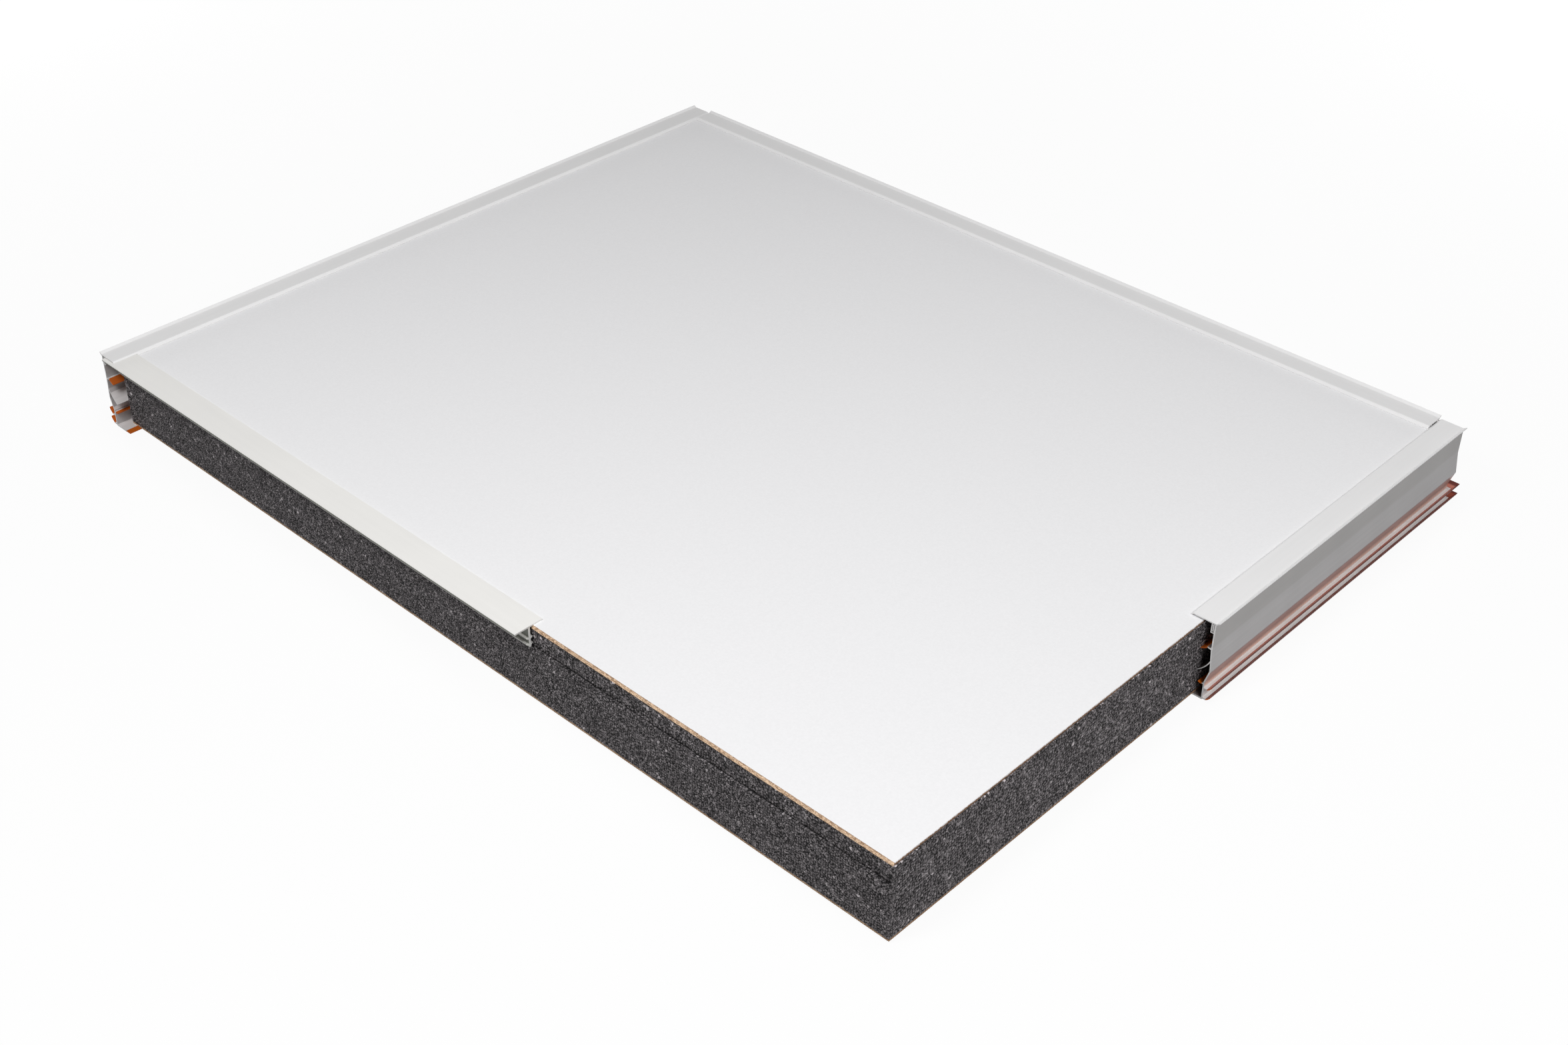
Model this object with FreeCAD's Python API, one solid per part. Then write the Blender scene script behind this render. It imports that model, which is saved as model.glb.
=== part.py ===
import FreeCAD, Part
import math
import os

# Insulated roof panel lying with its white ceiling face up. Millimetres, +Z up.
# The long joint edge faces -Y, the cut-back end faces +X, the feet stand on z = 0.

# Panel: foam core between two boards.
panel_length = 1264.0
panel_width = 1000.0
core_thickness = 91.4
ceiling_board_thickness = 3.2
outer_board_thickness = 2.5
rebate_depth = 2.6
rebate_height = 22.0
ceiling_edge_setback = 4.4
ceiling_edge_bevel = 1.6
ceiling_end_setback = 2.0

# Joint cover strip: flange on the ceiling face, barbed leg in the joint.
flange_width = 38.0
flange_thickness = 1.8
leg_offset = 1.8
leg_thickness = 2.6
leg_depth = 25.0
barb_reach = 2.8
barb_root = 2.2
barb_rise = 0.8
barb_tip = 0.6
upper_barb_depth = 13.2
lower_barb_depth = 21.3
strip_cutback = 493.6
strip_end_gap = 2.1

# Edge profile: web, foot, channel, stubs and fin.
web_offset = 14.5
web_thickness = 1.6
web_bulge = 2.3
web_step = 2.6
foot_reach = 9.6
foot_thickness = 2.0
channel_width = 3.0
channel_wall = 1.1
channel_depth = 10.8
channel_lead = 0.8
tooth_depth = 0.4
tooth_count = 4
tooth_crest = 0.70
tooth_end = 0.75
stub_thickness = 1.5
fin_thickness = 1.3
fin_tip_thickness = 0.8
profile_overrun = 16.0
right_profile_start = 493.2
mitre_gap = 0.1

# Levels of ribs and bends on the profile, from the floor.
first_lip_height = 69.6
lean_height = 68.0
fin_root_height = 54.0
fin_tip_height = 35.2
kink_height = 40.0
slant_foot_height = 23.0
second_lip_height = 20.8
outer_lip_height = 15.3

# Lengths of ribs and the way the fin bows.
inner_stub_length = 4.4
inner_stub_rise = 1.2
second_stub_length = 1.6
outer_stub_length = 4.0
bend_radius = 2.0
fin_bow_out = 0.62
fin_bow_down = 0.53

# Soft lips joined to the stubs and to the foot.
lip_thickness = 1.5
lip_tip_thickness = 0.8
lip_clearance = 0.4
first_lip_drop = 5.2
first_lip_bow = 0.62
second_lip_reach = 5.0
second_lip_sag = 0.9
outer_lip_reach = 6.6
outer_lip_rise = 7.0
outer_lip_bow_out = 0.56
outer_lip_bow_up = 0.42
foot_lip_reach = 8.6
foot_lip_thickness = 1.35

# Cover cap: plate, raised outer rim, bevelled inner edge, barbed leg.
cap_rise = 3.6
cap_thickness = 1.4
left_cap_overlap = 13.8
back_cap_overlap = 12.6
right_cap_overlap = 17.4
cap_bevel = 3.2
toe_thickness = 0.7
rim_reach = 3.7
rim_rise = 2.5
rim_thickness = 0.9
cap_clearance = 0.1
cap_leg_thickness = 0.9
cap_leg_barb = 0.4
cap_leg_gap = 0.9
cap_leg_end_gap = 0.5
cap_barb_crest = 0.2
cap_barb_end = 0.9
fold_radius = 1.6

# Levels and faces that follow from the sizes above.
outer_top = foot_thickness + outer_board_thickness
core_top = outer_top + core_thickness
ceiling_top = core_top + ceiling_board_thickness
flange_top = ceiling_top + flange_thickness
plate_top = ceiling_top + cap_rise
plate_bottom = plate_top - cap_thickness
web_inner = web_offset - web_thickness
kink_outer = web_offset + web_bulge
kink_inner = kink_outer - web_thickness
low_outer = web_offset - web_step
low_inner = low_outer - web_thickness
channel_inner = web_inner - channel_width
channel_outside = channel_inner - channel_wall
channel_floor = plate_bottom - channel_depth
cap_leg_line = web_inner - channel_width / 2
lip_tip = low_outer + outer_stub_length + outer_lip_reach
x_left = -panel_length / 2
x_right = panel_length / 2
y_joint = (flange_width / 2 + leg_offset - panel_width - lip_tip) / 2
y_back = y_joint + panel_width
reach = web_offset + flange_width

UP = FreeCAD.Vector(0, 0, 1)
PLUMB = (0.0, 1.0)


class Side:
    """One side of the panel: a point on the core face, the way out and the way along."""

    def __init__(self, base, out, run):
        self.base = FreeCAD.Vector(*base)
        self.out = FreeCAD.Vector(*out)
        self.run = FreeCAD.Vector(*run)

    def at(self, d, h, s):
        return self.base + self.out * d + UP * h + self.run * s


LEFT = Side((x_left, 0, 0), (-1, 0, 0), (0, 1, 0))
BACK = Side((0, y_back, 0), (0, 1, 0), (1, 0, 0))
RIGHT = Side((x_right, 0, 0), (1, 0, 0), (0, 1, 0))
JOINT = Side((0, y_joint, 0), (0, 1, 0), (1, 0, 0))
STRIP = Side((0, y_joint - leg_offset, 0), (0, 1, 0), (1, 0, 0))
CORNER_ROOM = 0.45


def prism(side, outline, start, end):
    """Section of corners (d, h) or (d, h, radius) swept along a side from start to end."""
    ends = []
    edges = []
    for i, corner in enumerate(outline):
        before = outline[i - 1]
        after = outline[(i + 1) % len(outline)]
        radius = corner[2] if len(corner) > 2 else 0.0
        ends.append(rounded_corner(before, corner, after, radius))
    for i, corner in enumerate(ends):
        points = [side.at(d, h, start) for d, h in corner]
        follow = side.at(*ends[(i + 1) % len(ends)][0], start)
        if len(points) == 3:
            edges.append(Part.Arc(*points).toShape())
        edges.append(Part.makeLine(points[-1], follow))
    face = Part.Face(Part.Wire(edges))
    return face.extrude(side.run * (end - start))


def rounded_corner(before, corner, after, radius):
    """The corner itself, or start, middle and end of the arc that rounds it."""
    if radius <= 0:
        return [corner[:2]]
    here = FreeCAD.Vector(corner[0], corner[1], 0)
    back = FreeCAD.Vector(before[0], before[1], 0) - here
    ahead = FreeCAD.Vector(after[0], after[1], 0) - here
    half_angle = back.getAngle(ahead) / 2
    room = CORNER_ROOM * min(back.Length, ahead.Length)
    trim = min(radius / math.tan(half_angle), room)
    fit = trim * math.tan(half_angle)
    back.normalize()
    ahead.normalize()
    middle = back + ahead
    middle.normalize()
    apex = here + middle * (fit / math.sin(half_angle) - fit)
    return [(p.x, p.y) for p in (here + back * trim, apex, here + ahead * trim)]


def curved_strip(side, root, middle, tip, thick, start, end, root_way=None, tip_way=None):
    """Bent strip through three section points, with its ends cut square or along a given way."""
    ways = [root_way or across(root, middle), across(root, tip), tip_way or across(middle, tip)]
    halves = [thick[0] / 2, (thick[0] + thick[1]) / 4, thick[1] / 2]
    upper = []
    lower = []
    for point, way, half in zip((root, middle, tip), ways, halves):
        upper.append(side.at(point[0] + way[0] * half, point[1] + way[1] * half, start))
        lower.append(side.at(point[0] - way[0] * half, point[1] - way[1] * half, start))
    edges = [
        Part.Arc(*upper).toShape(),
        Part.makeLine(upper[2], lower[2]),
        Part.Arc(lower[2], lower[1], lower[0]).toShape(),
        Part.makeLine(lower[0], upper[0]),
    ]
    face = Part.Face(Part.Wire(edges))
    return face.extrude(side.run * (end - start))


def across(a, b):
    """Unit direction square to the line a to b, pointing up."""
    d = b[0] - a[0]
    h = b[1] - a[1]
    size = (d * d + h * h) ** 0.5
    way = (-h / size, d / size)
    if way[1] < 0:
        way = (-way[0], -way[1])
    return way


def mitred(side, shape, start, low_mitre):
    """Cuts a swept piece at forty-five degrees where it meets the back corner or corners."""
    tall = plate_top + reach
    if low_mitre:
        first = (-reach, x_left + reach + mitre_gap)
        second = (reach, x_left - reach + mitre_gap)
        third = (reach, x_right + reach - mitre_gap)
        fourth = (-reach, x_right - reach - mitre_gap)
    else:
        first = (-reach, start)
        second = (reach, start)
        third = (reach, y_back + reach - mitre_gap)
        fourth = (-reach, y_back - reach - mitre_gap)
    corners = [side.at(d, -reach, s) for d, s in (first, second, third, fourth)]
    face = Part.Face(Part.makePolygon(corners + corners[:1]))
    return shape.common(face.extrude(UP * (tall + reach)))


def teeth(wall, way):
    """Sawtooth down one wall of the channel, from its mouth to near its floor."""
    pitch = (channel_depth - 2 * channel_lead) / tooth_count
    points = []
    for i in range(tooth_count):
        top = plate_bottom - channel_lead - i * pitch
        points.append((wall, top))
        points.append((wall + way * tooth_depth, top - pitch * tooth_crest))
        points.append((wall, top - pitch * tooth_end))
    return points


def web_outline():
    """Section of the web with its foot and its toothed channel."""
    outer_bends = [
        (web_offset, lean_height, bend_radius), (kink_outer, kink_height, bend_radius),
        (low_outer, slant_foot_height, bend_radius),
    ]
    inner_bends = [
        (low_inner, slant_foot_height, bend_radius), (kink_inner, kink_height, bend_radius),
        (web_inner, lean_height, bend_radius),
    ]
    outside = [(web_offset, plate_bottom)] + outer_bends + [(low_outer, 0, foot_thickness / 2)]
    foot = [(-foot_reach, 0), (-foot_reach, foot_thickness), (low_inner, foot_thickness)]
    inside = inner_bends + [(web_inner, channel_floor - channel_wall)]
    wall = [(channel_outside, channel_floor - channel_wall), (channel_outside, plate_bottom)]
    mouth = [(channel_inner, plate_bottom)] + teeth(channel_inner, 1)
    floor = [(channel_inner, channel_floor), (web_inner, channel_floor)]
    back_teeth = teeth(web_inner, -1)[::-1]
    ending = [(web_inner, plate_bottom)]
    return outside + foot + inside + wall + mouth + floor + back_teeth + ending


def stub(side, level, root, tip, start, end, rise=0.0):
    """Short rigid rib that carries a soft lip, level at its tip and lower at its root by the rise."""
    half = stub_thickness / 2
    low = level - rise
    outline = [(root, low - half), (tip, level - half), (tip, level + half), (root, low + half)]
    return prism(side, outline, start, end)


def lip_roots():
    """Where each soft lip starts: distance out and level."""
    first = (web_inner - inner_stub_length, first_lip_height)
    second = (low_inner - second_stub_length, second_lip_height)
    upper = (low_outer + outer_stub_length, outer_lip_height)
    lower = (low_outer + outer_stub_length, foot_thickness)
    return first, second, upper, lower


def edge_profile(side, start, end, low_mitre):
    """White rigid extrusion of one side, in one piece."""
    first, second, upper, lower = lip_roots()
    inside_root = web_inner + web_thickness / 2
    low_root = low_inner + web_thickness / 2
    body = prism(side, web_outline(), start, end)
    ribs = [
        stub(side, first[1], inside_root, first[0], start, end, inner_stub_rise),
        stub(side, second[1], low_root, second[0], start, end),
        stub(side, upper[1], low_root, upper[0], start, end),
        stub(side, lower[1], low_root, lower[0], start, end),
        fin(side, start, end),
    ]
    return mitred(side, body.fuse(ribs).removeSplitter(), start, low_mitre)


def fin(side, start, end):
    """Rigid curved fin that springs from the web and stops just short of the core."""
    lean = (lean_height - fin_root_height) / (lean_height - kink_height)
    root = (web_inner + web_bulge * lean + web_thickness / 2, fin_root_height)
    tip = (lip_clearance, fin_tip_height)
    middle = (tip[0] + (root[0] - tip[0]) * fin_bow_out, root[1] - (root[1] - tip[1]) * fin_bow_down)
    thick = (fin_thickness, fin_tip_thickness)
    return curved_strip(side, root, middle, tip, thick, start, end, tip_way=PLUMB)


def seal_lips(side, start, end, low_mitre):
    """The five soft lips of one side, each joined to its stub or to the foot."""
    first, second, upper, lower = lip_roots()
    thick = (lip_thickness, lip_tip_thickness)
    first_tip = (lip_clearance, first[1] - first_lip_drop)
    first_mid = ((first[0] + first_tip[0]) / 2, first[1] - first_lip_drop * first_lip_bow)
    second_tip = (second[0] - second_lip_reach, second[1])
    second_mid = ((second[0] + second_tip[0]) / 2, second[1] - second_lip_sag)
    lips = [
        curved_strip(side, first, first_mid, first_tip, thick, start, end, PLUMB, PLUMB),
        curved_strip(side, second, second_mid, second_tip, thick, start, end, PLUMB, PLUMB),
        outer_lip(side, upper, start, end),
        outer_lip(side, lower, start, end),
        foot_lip(side, start, end),
    ]
    return Part.makeCompound([mitred(side, lip, start, low_mitre).Solids[0] for lip in lips])


def outer_lip(side, root, start, end):
    """Soft lip that leans outward and up from an outer stub."""
    tip = (root[0] + outer_lip_reach, root[1] + outer_lip_rise)
    middle = (root[0] + outer_lip_reach * outer_lip_bow_out, root[1] + outer_lip_rise * outer_lip_bow_up)
    thick = (lip_thickness, lip_tip_thickness)
    return curved_strip(side, root, middle, tip, thick, start, end, PLUMB, PLUMB)


def foot_lip(side, start, end):
    """Soft lip that carries the foot on under the panel."""
    level = foot_thickness / 2
    root = foot_lip_thickness / 2
    tip = lip_tip_thickness / 2
    far = -foot_reach - foot_lip_reach
    outline = [
        (-foot_reach, level - root), (far, level - tip),
        (far, level + tip), (-foot_reach, level + root),
    ]
    return prism(side, outline, start, end)


def cap_plate_outline(overlap):
    """Section of the cap plate with its raised rim and its bevelled inner edge."""
    fold = cap_bevel - overlap
    under = ceiling_top + cap_clearance
    lean = math.atan2(rim_rise, rim_reach)
    skew = rim_thickness * math.sin(lean)
    drop = rim_thickness * math.cos(lean)
    rim = [(web_offset + rim_reach, plate_top + rim_rise), (web_offset, plate_top, fold_radius)]
    bevel = [(fold, plate_top, fold_radius), (-overlap, under + toe_thickness)]
    toe = [(-overlap, under), (-overlap + cap_thickness, under)]
    below = [(fold + cap_thickness / 2, plate_bottom), (web_offset + skew, plate_bottom)]
    rim_under = [(web_offset + rim_reach + skew, plate_top + rim_rise - drop)]
    return rim + bevel + toe + below + rim_under


def cap_leg_outline():
    """Section of the barbed cap leg that hangs in the channel."""
    half = cap_leg_thickness / 2
    bottom = channel_floor + cap_leg_gap
    pitch = (plate_bottom - channel_lead - bottom) / tooth_count
    right = [(cap_leg_line + half, plate_bottom + cap_thickness / 2)]
    left = [(cap_leg_line - half, plate_bottom + cap_thickness / 2)]
    for i in range(tooth_count):
        top = plate_bottom - channel_lead - i * pitch
        right.append((cap_leg_line + half, top))
        right.append((cap_leg_line + half + cap_leg_barb, top - pitch * cap_barb_crest))
        right.append((cap_leg_line + half, top - pitch * cap_barb_end))
        left.append((cap_leg_line - half, top))
        left.append((cap_leg_line - half - cap_leg_barb, top - pitch * cap_barb_crest))
        left.append((cap_leg_line - half, top - pitch * cap_barb_end))
    return right + left[::-1]


def cover_cap(side, overlap, start, end, leg_end):
    """Clip-on cap of one side, plate and leg in one piece."""
    plate = prism(side, cap_plate_outline(overlap), start, end)
    leg = prism(side, cap_leg_outline(), start, leg_end)
    return plate.fuse(leg).removeSplitter()


def flange_room():
    """Room that the flange and its clearance take out of the toe of the left cap."""
    half = flange_width / 2 + cap_clearance
    top = flange_top + cap_clearance
    outline = [(-half, ceiling_top), (half, ceiling_top), (half, top), (-half, top)]
    return prism(STRIP, outline, x_left - reach, x_left + reach)


def insulation_core():
    """Foam slab with the rebate along the joint edge."""
    ledge = core_top - rebate_height
    outline = [
        (0, outer_top), (panel_width, outer_top), (panel_width, core_top),
        (rebate_depth, core_top), (rebate_depth, ledge), (0, ledge),
    ]
    return prism(JOINT, outline, x_left, x_right)


def ceiling_board():
    """White-coated board, bevelled along the joint edge and short at the cut end."""
    low_edge = ceiling_edge_setback - ceiling_edge_bevel
    outline = [
        (low_edge, core_top), (panel_width, core_top),
        (panel_width, ceiling_top), (ceiling_edge_setback, ceiling_top),
    ]
    return prism(JOINT, outline, x_left, x_right - ceiling_end_setback)


def outer_board():
    """Thin board under the foam."""
    outline = [(0, foot_thickness), (panel_width, foot_thickness), (panel_width, outer_top), (0, outer_top)]
    return prism(JOINT, outline, x_left, x_right)


def joint_cover_strip():
    """T-shaped strip: flange over the joint, leg with two barbs on each face."""
    end = x_right - strip_cutback
    flange_start = x_left - channel_outside + strip_end_gap
    half = flange_width / 2
    soft = flange_thickness / 2
    flange = [
        (-half, ceiling_top), (half, ceiling_top),
        (half, flange_top, soft), (-half, flange_top, soft),
    ]
    leg_half = leg_thickness / 2
    foot = ceiling_top - leg_depth
    leg = [(-leg_half, foot), (leg_half, foot), (leg_half, flange_top), (-leg_half, flange_top)]
    parts = [prism(STRIP, leg, x_left, end)]
    for depth in (upper_barb_depth, lower_barb_depth):
        parts.append(prism(STRIP, barb(ceiling_top - depth, 1), x_left, end))
        parts.append(prism(STRIP, barb(ceiling_top - depth, -1), x_left, end))
    return prism(STRIP, flange, flange_start, end).fuse(parts).removeSplitter()


def barb(level, way):
    """Section of one barb, leaning up and away from the leg."""
    near = way * leg_thickness / 4
    far = way * (leg_thickness / 2 + barb_reach)
    tip = level + barb_rise
    return [(near, level - barb_root), (far, tip - barb_tip), (far, tip), (near, level)]


def write(name, shape):
    shape.exportStep("parts/" + name + ".step")


os.makedirs("parts", exist_ok=True)

left_start = y_joint - profile_overrun
right_start = y_joint + right_profile_start
side_end = y_back + reach
cap_end = y_back + web_offset
cap_leg_end = y_back + channel_outside - cap_leg_end_gap
back_start = x_left - reach
back_end = x_right + reach
back_cap_start = x_left + left_cap_overlap + cap_clearance
back_cap_end = x_right - right_cap_overlap - cap_clearance
left_cap = cover_cap(LEFT, left_cap_overlap, left_start, cap_end, cap_leg_end)
back_cap = cover_cap(BACK, back_cap_overlap, back_cap_start, back_cap_end, back_cap_end)
right_cap = cover_cap(RIGHT, right_cap_overlap, right_start, cap_end, cap_leg_end)

write("insulation_core", insulation_core())
write("ceiling_board", ceiling_board())
write("outer_board", outer_board())
write("joint_cover_strip", joint_cover_strip())
write("left_edge_profile", edge_profile(LEFT, left_start, side_end, False))
write("back_edge_profile", edge_profile(BACK, back_start, back_end, True))
write("right_edge_profile", edge_profile(RIGHT, right_start, side_end, False))
write("left_seal_lips", seal_lips(LEFT, left_start, side_end, False))
write("back_seal_lips", seal_lips(BACK, back_start, back_end, True))
write("right_seal_lips", seal_lips(RIGHT, right_start, side_end, False))
write("left_cover_cap", left_cap.cut(flange_room()))
write("back_cover_cap", back_cap)
write("right_cover_cap", right_cap)
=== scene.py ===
import math
from collections import namedtuple

import bpy
import numpy as np
from mathutils import Matrix, Vector


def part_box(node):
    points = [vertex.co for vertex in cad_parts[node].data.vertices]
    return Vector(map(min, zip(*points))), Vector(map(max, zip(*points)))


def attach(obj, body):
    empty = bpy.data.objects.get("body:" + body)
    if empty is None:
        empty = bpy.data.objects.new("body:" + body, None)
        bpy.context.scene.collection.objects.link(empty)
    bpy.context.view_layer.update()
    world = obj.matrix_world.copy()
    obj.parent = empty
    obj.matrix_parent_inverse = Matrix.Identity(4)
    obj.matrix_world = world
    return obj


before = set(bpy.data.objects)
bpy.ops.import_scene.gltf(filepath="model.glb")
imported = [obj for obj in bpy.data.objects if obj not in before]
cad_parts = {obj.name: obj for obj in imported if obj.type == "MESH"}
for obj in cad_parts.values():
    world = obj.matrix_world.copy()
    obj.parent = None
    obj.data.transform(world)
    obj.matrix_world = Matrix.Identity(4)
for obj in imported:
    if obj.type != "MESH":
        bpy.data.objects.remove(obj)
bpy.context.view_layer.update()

# Insulated roof panel: grey foam between two chipboards, white extrusions with orange seal lips.
# Metres, +Z up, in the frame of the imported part.

mm = 0.001
along_x = (1, 0, 0)
along_y = (0, 1, 0)
core_low, core_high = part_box("insulation_core")
board_low, board_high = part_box("ceiling_board")
outer_low, outer_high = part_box("outer_board")
right_low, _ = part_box("right_edge_profile")
_, strip_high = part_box("joint_cover_strip")

# Sizes of the solids that no box gives.
rebate_depth = 2.6 * mm
rebate_height = 22.0 * mm
edge_bevel = 1.6 * mm

# Where the ledges lie, and how far the faces of the cut end run on behind the right profile.
ledge = core_high.z - rebate_height
end_ledge = core_high.x - board_high.x
board_setback = board_low.y - core_low.y
tuck = 40 * mm
tucked_end = right_low.y + tuck


# Helpers for nodes and meshes.

# Socket numbers of a Mix node that mixes colours.
mix_first = 6
mix_second = 7
mix_result = 2


def new_node(tree, kind, **values):
    """Adds a shader node; values set its inputs by name, or its own settings in lower case."""
    node = tree.nodes.new("ShaderNode" + kind)
    for name, value in values.items():
        label = name.replace("_", " ")
        if label in node.inputs:
            node.inputs[label].default_value = value
        else:
            setattr(node, name, value)
    return node


def math_node(tree, operation, second=None, third=None):
    """Math node whose second and third inputs may hold plain numbers."""
    node = new_node(tree, "Math", operation=operation)
    for socket, value in enumerate((second, third), 1):
        if value is not None:
            node.inputs[socket].default_value = value
    return node


def colour_mix(tree, **settings):
    """Mix node set to colours."""
    return new_node(tree, "Mix", data_type="RGBA", **settings)


def colour_ramp(tree, stops):
    """Colour ramp through a list of place and colour that rises."""
    ramp = new_node(tree, "ValToRGB")
    ends = ramp.color_ramp.elements
    for position, colour in stops[1:-1]:
        ends.new(position).color = colour
    for element, (position, colour) in zip((ends[0], ends[-1]), (stops[0], stops[-1])):
        element.position = position
        element.color = colour
    return ramp


def wire(tree, source, source_socket, target, target_socket):
    """Joins an output to an input."""
    tree.links.new(source.outputs[source_socket], target.inputs[target_socket])


def new_group(name, inputs, outputs):
    """Empty shader node group with named sockets, given as name, kind and, for inputs, start value."""
    group = bpy.data.node_groups.new(name, "ShaderNodeTree")
    for label, kind, value in inputs:
        socket = group.interface.new_socket(label, in_out="INPUT", socket_type="NodeSocket" + kind)
        socket.default_value = value
    for label, kind in outputs:
        group.interface.new_socket(label, in_out="OUTPUT", socket_type="NodeSocket" + kind)
    return group, group.nodes.new("NodeGroupInput"), group.nodes.new("NodeGroupOutput")


def place_group(tree, group, **values):
    """Puts a shared effect into a material with its own values."""
    node = tree.nodes.new("ShaderNodeGroup")
    node.node_tree = group
    for name, value in values.items():
        node.inputs[name.replace("_", " ")].default_value = value
    return node


def new_material(name, **values):
    """Material with one Principled shader whose plain values are set on its own sockets."""
    material = bpy.data.materials.new(name)
    material.use_nodes = True
    shader = material.node_tree.nodes["Principled BSDF"]
    for label, value in values.items():
        shader.inputs[label.replace("_", " ")].default_value = value
    return material, material.node_tree, shader


def add_object(name, data):
    """Object in the scene for a mesh, a lamp or a camera."""
    item = bpy.data.objects.new(name, data)
    bpy.context.scene.collection.objects.link(item)
    return item


def grid_mesh(name, points):
    """Smooth mesh of a rows by columns array of points, one quad between each four neighbours."""
    rows, columns = points.shape[:2]
    index = np.arange(rows * columns).reshape(rows, columns)
    corners = (index[:-1, :-1], index[:-1, 1:], index[1:, 1:], index[1:, :-1])
    quads = np.stack(corners, -1).reshape(-1, 4)
    mesh = bpy.data.meshes.new(name)
    mesh.vertices.add(rows * columns)
    mesh.vertices.foreach_set("co", points.astype(np.float32).ravel())
    mesh.loops.add(quads.size)
    mesh.loops.foreach_set("vertex_index", quads.astype(np.int32).ravel())
    mesh.polygons.add(len(quads))
    mesh.polygons.foreach_set("loop_start", np.arange(0, quads.size, 4, dtype=np.int32))
    mesh.polygons.foreach_set("use_smooth", np.ones(len(quads), bool))
    mesh.update(calc_edges=True)
    return mesh


def surface(name, points, attributes, material):
    """Piece of the panel on a grid of points; each attribute holds one number for each point."""
    mesh = grid_mesh(name, points)
    for label, values in attributes.items():
        layer = mesh.attributes.new(label, "FLOAT", "POINT")
        layer.data.foreach_set("value", values.astype(np.float32).ravel())
    mesh.materials.append(material)
    piece = add_object(name, mesh)
    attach(piece, "root")


# Painted shade, reflection and highlights by height above the floor, for outer walls, lips and the
# strip's leg.

plain_white = (1, 1, 1, 1)
band_height = 110 * mm
# Outer wall of a profile: white at the foot, then the orange lips' painted reflection on the slant,
# painted shade under the bend, and painted shade on the upright web, deeper on its upper part.
painted_reflection_pale = (1, 0.72, 0.60, 1)
painted_reflection_shade = (0.57, 0.36, 0.32, 1)
painted_kink_shade = (0.44, 0.32, 0.33, 1)
painted_web_shade = (0.56, 0.55, 0.555, 1)
painted_upper_web_shade = (0.485, 0.475, 0.47, 1)
painted_wall_tones = [(0, plain_white), (16.5 * mm, plain_white), (18.5 * mm, painted_reflection_pale), (25 * mm, painted_reflection_shade),
              (34 * mm, painted_reflection_shade), (37.5 * mm, painted_kink_shade), (40.5 * mm, painted_web_shade), (67.5 * mm, painted_web_shade),
              (73 * mm, painted_upper_web_shade), (band_height, painted_upper_web_shade)]

# Lips seen from outside: painted shade at the root and on the outer faces, and a painted highlight along
# the upper lip.
painted_lip_shade = (0.17, 0.04, 0.03, 1)
painted_lip_shaded_red = (0.38, 0.09, 0.05, 1)
painted_lip_highlight = (0.62, 0.23, 0.17, 1)
painted_lip_tones = [(2 * mm, painted_lip_shade), (4.2 * mm, painted_lip_shaded_red), (6.5 * mm, painted_lip_shaded_red), (8.5 * mm, painted_lip_shade),
             (15.2 * mm, painted_lip_shade), (16.6 * mm, painted_lip_highlight), (18.4 * mm, painted_lip_highlight),
             (19.6 * mm, painted_lip_shade)]

# Strip's leg under its flange: painted shade, with painted highlights along the edges of the two barbs;
# the painted shade also covers the lower part of the flange's front edge as a painted shadow line.
painted_leg_shade = (0.22, 0.23, 0.20, 1)
painted_barb_highlight = (0.95, 0.95, 0.93, 1)
barb_heights = (78.4 * mm, 86.5 * mm)
barb_highlight_half = 0.4 * mm
barb_highlight_fade = 0.8 * mm
flange_edge_shade_top = 99.9 * mm
flange_foot = 100.2 * mm
painted_leg_tones = [(0, painted_leg_shade)]
for height in barb_heights:
    painted_leg_tones += [(height - barb_highlight_fade, painted_leg_shade), (height - barb_highlight_half, painted_barb_highlight),
                  (height + barb_highlight_half, painted_barb_highlight), (height + barb_highlight_fade, painted_leg_shade)]
painted_leg_tones += [(flange_edge_shade_top, painted_leg_shade), (flange_foot, plain_white)]

# Where a face counts as level, as upward, as looking back at the panel and as sloping: the first two
# by the upright part of its normal, the others by its normal times its place along an axis, in metres.
level_from = 0.8
upward_from = 0.25
backward_from = -0.1
sloping_from = 0.15


# Shared effects.

def extrusion_streaks():
    """Faint lines and patches along an extruded plastic: noise drawn out by the Run vector."""
    group, enter, leave = new_group(
        "extrusion_streaks",
        [("Colour", "Color", plain_white), ("Run", "Vector", (1, 1, 1)), ("Strength", "Float", 0.1)],
        [("Colour", "Color"), ("Roughness", "Float"), ("Height", "Float")])
    place = new_node(group, "TexCoord")
    drawn = new_node(group, "VectorMath", operation="MULTIPLY")
    lines = new_node(group, "TexNoise", Scale=1.0, Detail=3.0)
    patch = new_node(group, "TexNoise", Scale=14.0, Detail=2.0)
    both = math_node(group, "ADD")
    level = math_node(group, "SUBTRACT", 1.0)
    sized = math_node(group, "MULTIPLY_ADD", third=1.0)
    tint = new_node(group, "VectorMath", operation="SCALE")
    rough = new_node(group, "MapRange", From_Min=0.3, From_Max=0.7, To_Min=0.34, To_Max=0.46)
    wire(group, place, "Object", drawn, 0)
    wire(group, enter, "Run", drawn, 1)
    wire(group, drawn, 0, lines, "Vector")
    wire(group, place, "Object", patch, "Vector")
    wire(group, lines, 0, both, 0)
    wire(group, patch, 0, both, 1)
    wire(group, both, 0, level, 0)
    wire(group, level, 0, sized, 0)
    wire(group, enter, "Strength", sized, 1)
    wire(group, enter, "Colour", tint, 0)
    wire(group, sized, 0, tint, "Scale")
    wire(group, lines, 0, rough, "Value")
    wire(group, tint, 0, leave, "Colour")
    wire(group, rough, 0, leave, "Roughness")
    wire(group, lines, 0, leave, "Height")
    return group


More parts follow.
